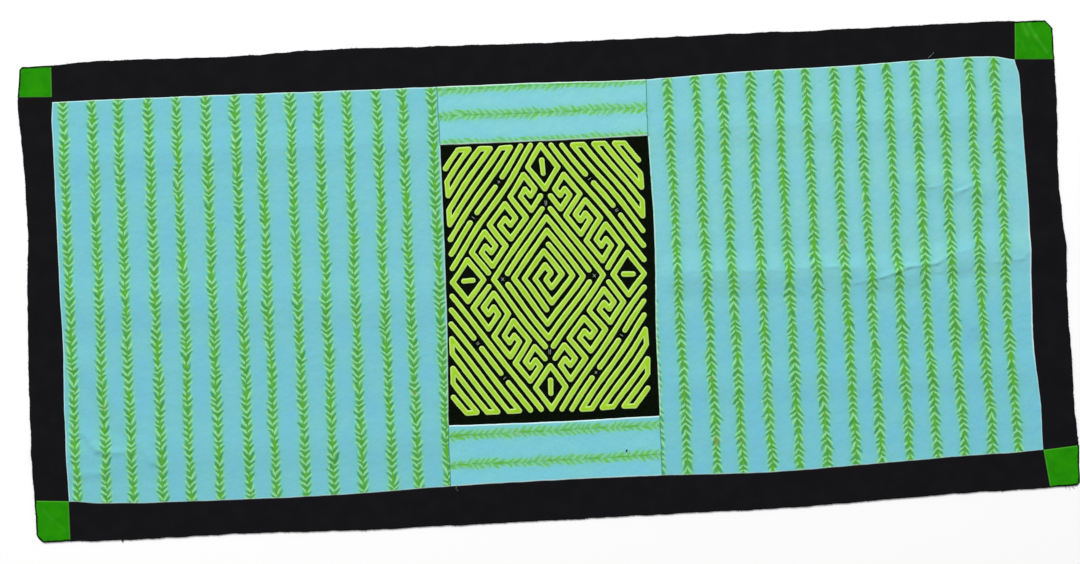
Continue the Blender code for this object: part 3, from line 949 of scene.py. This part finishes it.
def square_ring(low, high):
    return [(low, low), (high, low), (high, high), (low, high)]


def upper_half_ring(size):
    """Open at the left and the right of the pattern."""
    return [(size, RING_GAP - size), (size, size), (RING_GAP - size, size)]


def right_half_ring(size):
    """Open at the top and the bottom of the pattern."""
    return [(size, size - RING_GAP), (size, -size), (RING_GAP - size, -size)]


def key_row():
    """A running key along one side of the diamond, three turns long."""
    columns = 12
    step = 2 * SIDE_RING / (columns - 1)
    turn = [(0, 0), (0, 3), (3, 3), (3, 1), (2, 1), (2, 2), (1, 2), (1, 0)]
    run = [(4 * k + along, rise) for k in range(3) for along, rise in turn]
    run.append((columns - 1, 0))
    return [(KEY_FROM + rise, along * step - SIDE_RING) for along, rise in run]


def folded_back_corner():
    """One band that runs back and forth, shorter each time, into a corner of the mola."""
    run = []
    for k in range(FOLD_BACKS):
        place = FIRST_FOLD_BACK + k
        end = LATTICE_EDGE - place
        run += [(place, -end), (place, end)] if k % 2 == 0 else [(place, end), (place, -end)]
    return run


def lime_bands():
    """Every band as a name, its lattice points and whether it closes on itself."""
    quarters = {
        "north_east": lambda a, b: (a, b),
        "north_west": lambda a, b: (b, a),
        "south_west": lambda a, b: (-a, -b),
        "south_east": lambda a, b: (-b, -a),
    }
    halves = {"one": lambda a, b: (a, b), "two": lambda a, b: (-a, -b)}
    points = {
        "top": lambda a, b: (a, b),
        "right": lambda a, b: (a, -b),
        "bottom": lambda a, b: (-a, -b),
        "left": lambda a, b: (-a, b),
    }
    whole = {"middle": lambda a, b: (a, b)}
    reach = LATTICE_EDGE - LONG_BAR
    mid = (KEY_FROM + KEY_TO) / 2
    Band = namedtuple("Band", "name copies closed points")
    table = (
        Band("lime_heart", whole, False, heart_spiral()),
        Band("lime_heart_ring", whole, True, square_ring(-HEART_RING, HEART_RING)),
        Band("lime_upper_ring", halves, False, upper_half_ring(TOP_AND_BOTTOM_RING)),
        Band("lime_side_ring", halves, False, right_half_ring(SIDE_RING)),
        Band("lime_key", quarters, False, key_row()),
        Band("lime_point_ring", points, True, square_ring(KEY_FROM, KEY_TO)),
        Band("lime_point_dot", points, False, [(mid - 0.45, mid - 0.45), (mid + 0.45, mid + 0.45)]),
        Band("lime_long_bar", quarters, False, [(LONG_BAR, -reach), (LONG_BAR, reach)]),
        Band("lime_dash_left", quarters, False, [(BROKEN_BAR, 3.15), (BROKEN_BAR, reach - 1)]),
        Band("lime_dash_middle", quarters, False, [(BROKEN_BAR, -1.75), (BROKEN_BAR, 1.75)]),
        Band("lime_dash_right", quarters, False, [(BROKEN_BAR, 1 - reach), (BROKEN_BAR, -3.15)]),
        Band("lime_corner", quarters, False, folded_back_corner()),
    )
    for band in table:
        for copy, turn in band.copies.items():
            yield f"{band.name}_{copy}", [turn(a, b) for a, b in band.points], band.closed


def middle_at(y):
    return (plain_seams["mola_left"](y) + plain_seams["mola_right"](y)) / 2


def on_mola(a, b):
    """The place of a lattice point, with the slow wander that cutting by hand gives the pattern."""
    x, y = (a - b) * LATTICE_X, (a + b) * LATTICE_Y
    wander_x = 0.8 * math.sin(x / 17 + y / 29) + 0.5 * math.sin(y / 13 + 1.3)
    wander_y = 0.8 * math.sin(y / 19 - x / 31 + 0.7) + 0.5 * math.sin(x / 11 + 2.1)
    y += wander_y + PATTERN_Y
    return middle_at(y) + PATTERN_X + x + wander_x, y


def heading_of(start, end):
    return math.atan2(end[1] - start[1], end[0] - start[0])


def turn_between(before, here, after):
    """How sharply a line turns at one of its points, to the left where it is positive."""
    turn = heading_of(here, after) - heading_of(before, here)
    return (turn + math.pi) % (2 * math.pi) - math.pi


def closely(points, closed):
    """Adds a point every two millimetres or so on each run, clear of where the band's sides meet."""
    count = len(points)
    flat = [((a - b) * LATTICE_X, (a + b) * LATTICE_Y) for a, b in points]
    clear = []
    for i in range(count):
        at_end = not closed and i in (0, count - 1)
        turn = 0.0 if at_end else turn_between(flat[i - 1], flat[i], flat[(i + 1) % count])
        clear.append(CLEAR_OF_CORNER + 0.55 * BAND_WIDTH * math.tan(abs(turn) / 2))
    fuller = []
    for i in range(count if closed else count - 1):
        after = (i + 1) % count
        fuller.append(points[i])
        length = math.dist(flat[i], flat[after])
        inner = length - clear[i] - clear[after]
        if inner > SHORT_RUN:
            steps = math.ceil(inner / FINE_RUN)
            for k in range(steps + 1):
                share = (clear[i] + inner * k / steps) / length
                fuller.append([mix(start, end, share) for start, end in zip(points[i], points[after])])
    return fuller if closed else fuller + [points[-1]]


def width_at(x, y):
    slow = 0.05 * math.sin(0.11 * x + 0.17 * y)
    return BAND_WIDTH * (1 + slow + 0.05 * uneven(x / 9, y / 9, 1.5))


def arc(x, y, radius, start, sweep, steps):
    return [
        (x + radius * math.cos(start + sweep * k / steps), y + radius * math.sin(start + sweep * k / steps))
        for k in range(steps + 1)
    ]


def corner_sides(before, here, after):
    """The left and the right side of a band at one of its points, as lists of places."""
    x, y = here
    half = width_at(x, y) / 2
    heading = heading_of(before, here)
    turn = turn_between(before, here, after)
    middle = heading + turn / 2
    if abs(turn) < STRAIGHT_TURN:
        return (
            [(x - half * math.sin(middle), y + half * math.cos(middle))],
            [(x + half * math.sin(middle), y - half * math.cos(middle))],
        )
    side = math.copysign(1, turn)
    reach = half / math.cos(turn / 2)
    inner = [(x - side * reach * math.sin(middle), y + side * reach * math.cos(middle))]
    steps = max(1, round(abs(turn) / ARC_STEP))
    outer = arc(x, y, half, heading - side * math.pi / 2, turn, steps)
    return (inner, outer) if side > 0 else (outer, inner)


def band_sides(path, closed):
    """The outline of a band: one loop for an open band, two for one that closes on itself."""
    count = len(path)
    left, right = [], []
    for i in range(count) if closed else range(1, count - 1):
        on_left, on_right = corner_sides(path[i - 1], path[i], path[(i + 1) % count])
        left += on_left
        right += on_right
    if closed:
        return [left, right[::-1]]
    first, last = heading_of(path[0], path[1]), heading_of(path[-2], path[-1])
    start = arc(*path[0], width_at(*path[0]) / 2, first - math.pi / 2, -math.pi, CAP_STEPS)
    end = arc(*path[-1], width_at(*path[-1]) / 2, last + math.pi / 2, -math.pi, CAP_STEPS)
    return [start + left + end + right[::-1]]


def with_neighbours(loop):
    """Each place of an outline, between the one before it and the one after it."""
    return zip(loop[-1:] + loop[:-1], loop, loop[1:] + loop[:1])


def hand_cut(loop):
    """Wavers an outline in and out a little, as needle-turned edges are."""
    places = []
    for before, (x, y), after in with_neighbours(loop):
        run_x, run_y = after[0] - before[0], after[1] - before[1]
        length = max(math.hypot(run_x, run_y), 1e-6)
        waver = 0.2 * uneven(x / 3.2, y / 3.2, 3.5)
        places.append((x - waver * run_y / length, y + waver * run_x / length))
    return places


def turned_in(loop, inward):
    """An outline moved in evenly from the band's edge. The band lies to the right of its outline."""
    places = []
    for before, (x, y), after in with_neighbours(loop):
        turn = turn_between(before, (x, y), after)
        middle = heading_of(before, (x, y)) + turn / 2
        reach = inward / max(math.cos(turn / 2), 0.5)
        places.append((x + reach * math.sin(middle), y - reach * math.cos(middle)))
    return places


def next_ring(cloth, ring, edges, places, height):
    """Draws an edge loop out to new places, keeping its order, and returns the new loop."""
    grown = bmesh.ops.extrude_edge_only(cloth, edges=edges)["geom"]
    order = {vertex: i for i, vertex in enumerate(ring)}
    drawn_out = [None] * len(ring)
    for vertex in (item for item in grown if isinstance(item, bmesh.types.BMVert)):
        source = next(order[end] for edge in vertex.link_edges for end in edge.verts if end in order)
        x, y = places[source]
        vertex.co = (x, y, height)
        drawn_out[source] = vertex
    return drawn_out, [cloth.edges.get((drawn_out[i - 1], drawn_out[i])) for i in range(len(ring))]


lime_sheet = bmesh.new()
outlines = []
for name, points, closed in lime_bands():
    path = [on_mola(a, b) for a, b in closely(points, closed)]
    under, over = [], []
    for loop in band_sides(path, closed):
        loop = hand_cut(loop)
        outlines.append(loop)
        ring = [lime_sheet.verts.new((x, y, BAND_FOOT)) for x, y in loop]
        edges = [lime_sheet.edges.new((ring[i - 1], ring[i])) for i in range(len(ring))]
        under += edges
        inward, height = 0.0, BAND_FOOT
        for turning in TURNED_EDGE:
            inward, height = inward + turning.inward, height + turning.up
            ring, edges = next_ring(lime_sheet, ring, edges, turned_in(loop, inward), height)
        over += edges
    bmesh.ops.triangle_fill(lime_sheet, use_beauty=True, use_dissolve=False, edges=under)
    bmesh.ops.triangle_fill(lime_sheet, use_beauty=True, use_dissolve=False, edges=over)
bmesh.ops.scale(lime_sheet, verts=lime_sheet.verts, vec=(MM, MM, MM))
bmesh.ops.recalc_face_normals(lime_sheet, faces=lime_sheet.faces)
lime_area = sum(face.calc_area() for face in lime_sheet.faces if face.normal.z < -0.9)
lime_cloth = made("mola_lime_cloth", lime_sheet)


def lime_colours(place):
    """The turned rims are painted paler, a painted highlight on the turned edges: they lie a little lower
    than the flat of the bands.
    """
    rim_highlight = place.split().other("Z").fade(FLAT_FROM, RIM_TOP)
    patch = place.noise(90.0, 2.0).fade(0.35, 0.65)
    threads = place.noise(1100.0, 2.0).fade(0.35, 0.65)
    colour = (patch * 0.6 + threads * 0.4).colours(LIME_DEEP, LIME)
    return (rim_highlight * 0.85).colours(colour, LIME_RIM_HIGHLIGHT)


lime_cotton = cotton("mola_lime_cotton", 0.85, 0.12, lime_colours, 0.0006, 0.00007)
lime_cloth.data.materials.append(lime_cotton)
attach(lime_cloth, "root")
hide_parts(*[name for name, points, closed in lime_bands()])
flat_size(mola_ground)


# The stitches. Whip stitches in a pale lime thread hold every turned edge down, about two millimetres
# apart. Each comes up from the black ground and slants over the edge, as it does when sewn by hand.
STITCH_STEP = 2.3
STITCH_LONG = 1.8
STITCH_THICK = 0.42
STITCH_IN = 0.35
STITCH_HEIGHT = 2.2
STITCH_RISE = 38
STITCH_SLANT = 28
THREAD_LIME = paint(214, 238, 158)


def stitch(row, x, y, height, turn, rise, long, thick):
    """One stitch: its middle, the way it points and how steeply it climbs, in degrees."""
    place = Matrix.Translation((x * MM, y * MM, height * MM))
    turned = Matrix.Rotation(math.radians(turn), 4, "Z") @ Matrix.Rotation(math.radians(-rise), 4, "Y")
    size = Matrix.Diagonal((long * MM, thick * MM, thick * MM, 1))
    bmesh.ops.create_icosphere(row, subdivisions=1, radius=0.5, matrix=place @ turned @ size)


def along_outline(loop, step):
    """Places a step apart along an outline, with the way in to the band at each, in degrees."""
    ahead = step / 2
    for i, here in enumerate(loop):
        before = loop[i - 1]
        length = math.dist(before, here)
        inward = math.degrees(heading_of(before, here)) - 90
        while ahead < length:
            share = ahead / length
            yield mix(before[0], here[0], share), mix(before[1], here[1], share), inward
            ahead += step * (1 + 0.5 * uneven(*here, 17.5 + ahead))
        ahead -= length


def finished_thread(name, rows, finish):
    """Makes rows of stitches one piece, in its thread."""
    piece = made(name, rows)
    piece.data.materials.append(finish)
    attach(piece, "root")


def thread_finish(name, colour):
    thread, shader = plain_finish(name, 0.7, 0.2)
    shader.inputs["Base Color"].default_value = colour
    return thread


whip_stitches = bmesh.new()
for loop in outlines:
    row = bmesh.new()
    for x, y, inward in along_outline(loop, STITCH_STEP):
        chance = uneven(x * 1.7, y * 1.7, 21.5)
        x += STITCH_IN * math.cos(math.radians(inward))
        y += STITCH_IN * math.sin(math.radians(inward))
        turn = inward + STITCH_SLANT + 25 * chance
        stitch(row, x, y, STITCH_HEIGHT, turn, STITCH_RISE, STITCH_LONG * (1 + 0.4 * chance), STITCH_THICK)
    row_mesh = bpy.data.meshes.new("stitch_row")
    row.to_mesh(row_mesh)
    row.free()
    whip_stitches.from_mesh(row_mesh)
    bpy.data.meshes.remove(row_mesh)
finished_thread("mola_whip_stitches", whip_stitches, thread_finish("lime_thread", THREAD_LIME))


# The filling stitches. Short single, double and crossed stitches in a whitish thread, sewn on the black
# where bands end or meet, so that no wide black place is left bare.
FILL_HEIGHT = 1.42
FILL_THICK = 0.55
THREAD_WHITE = paint(176, 190, 178)
GAP_AT = 2.45
FILLS = table_of(
    "Fill", "a b kind turn long",
    (5.25, 5.25, "double", 90, 6.5),
    (-5.25, -5.25, "double", 88, 6.5),
    (4.35, -4.35, "cross", 40, 5.5),
    (-4.35, 4.35, "cross", 47, 5.5),
    (BROKEN_BAR, GAP_AT, "single", 35, 5.0),
    (BROKEN_BAR, -GAP_AT, "double", 28, 4.6),
    (GAP_AT, BROKEN_BAR, "cross", 50, 4.4),
    (-GAP_AT, BROKEN_BAR, "single", -38, 5.2),
    (-BROKEN_BAR, GAP_AT, "double", 32, 4.4),
    (-BROKEN_BAR, -GAP_AT, "single", 38, 4.8),
    (-GAP_AT, -BROKEN_BAR, "cross", 42, 4.4),
    (GAP_AT, -BROKEN_BAR, "single", -33, 5.0),
)
# How far each stroke of a kind lies to the side, how it is turned and how far it is lifted
STROKES = {
    "single": ((0, 0, 0),),
    "double": ((-0.75, -3, 0), (0.75, 4, 0)),
    "cross": ((0, 0, 0), (0, 84, 0.22)),
}
fill_stitches = bmesh.new()
for fill in FILLS:
    x, y = on_mola(fill.a, fill.b)
    aside = math.radians(fill.turn + 90)
    for off, turn, lift in STROKES[fill.kind]:
        stitch(
            fill_stitches, x + off * math.cos(aside), y + off * math.sin(aside), FILL_HEIGHT + lift,
            fill.turn + turn, 0, fill.long, FILL_THICK,
        )
white_thread = thread_finish("white_thread", THREAD_WHITE)
finished_thread("mola_filling_stitches", fill_stitches, white_thread)


# The loose threads. A few pale ends lie on the seams, and black lint and frayed ends stand out all
# round the border's turned edge and cling to the print.
THREAD_GREY = paint(128, 148, 148)
THREAD_BLACK = paint(18, 17, 20)
THREAD_COLUMNS = "x y height turn long thick"
PALE_ENDS = table_of(
    "Thread", THREAD_COLUMNS,
    (387, 201.5, 2.1, 40, 8.2, 0.42),
    (390.4, 204.6, 2.1, 62, 3.0, 0.4),
    (-101.6, -198.5, 2.0, 84, 5.0, 0.5),
    (-100.6, -201.6, 2.0, 55, 2.6, 0.4),
)
DARK_ENDS = table_of(
    "Thread", THREAD_COLUMNS,
    (65.6, -171.7, 2.0, 70, 3.0, 1.7),
    (502, -230.4, 0.6, -35, 5.0, 0.3),
    (498, -231.0, 0.6, -75, 4.4, 0.3),
    (494.5, -230.2, 0.6, -60, 3.4, 0.3),
)
LUMPS = table_of(
    "Lump", "x y size",
    (-425, -233.3, 2.4),
    (-509.3, -151, 1.6),
    (509.8, 8, 1.6),
    (-230, 235.2, 1.5),
)
LUMP_HEIGHT = 0.9
FRAY_STEP = 3.6
FRAY_THICK = 0.36
FRAY_FROM = 34
FRAY_UNTIL = 38
OUTER_EDGES = (
    ("outer_top", ALONG, 90),
    ("outer_bottom", ALONG, -90),
    ("outer_left", ACROSS, 180),
    ("outer_right", ACROSS, 0),
)


def laid_ends(table):
    ends = bmesh.new()
    for end in table:
        stitch(ends, end.x, end.y, end.height, end.turn, 0, end.long, end.thick)
    return ends


grey_thread = thread_finish("grey_thread", THREAD_GREY)
finished_thread("pale_thread_ends", laid_ends(PALE_ENDS), grey_thread)
dark_ends = laid_ends(DARK_ENDS)
for x, y, size in LUMPS:
    stitch(dark_ends, x, y, LUMP_HEIGHT, 20 * size, 0, size, 0.8 * size)
for side, run, out in OUTER_EDGES:
    first, last = run[0][0] + FRAY_FROM, run[-1][0] - FRAY_UNTIL
    for k in range(int((last - first) / FRAY_STEP)):
        chance = uneven(k * 3.3, out / 7, 23.5)
        where = first + FRAY_STEP * (k + 2 * chance)
        edge_at = seams[side](where)
        x, y = (where, edge_at) if run is ALONG else (edge_at, where)
        turn = out + 160 * uneven(k * 2.1, out / 7, 27.5)
        stitch(dark_ends, x, y, 0.75 + 0.5 * chance, turn, 8, 1.6 + 2.4 * abs(chance), FRAY_THICK)
finished_thread("dark_thread_ends", dark_ends, thread_finish("black_thread", THREAD_BLACK))
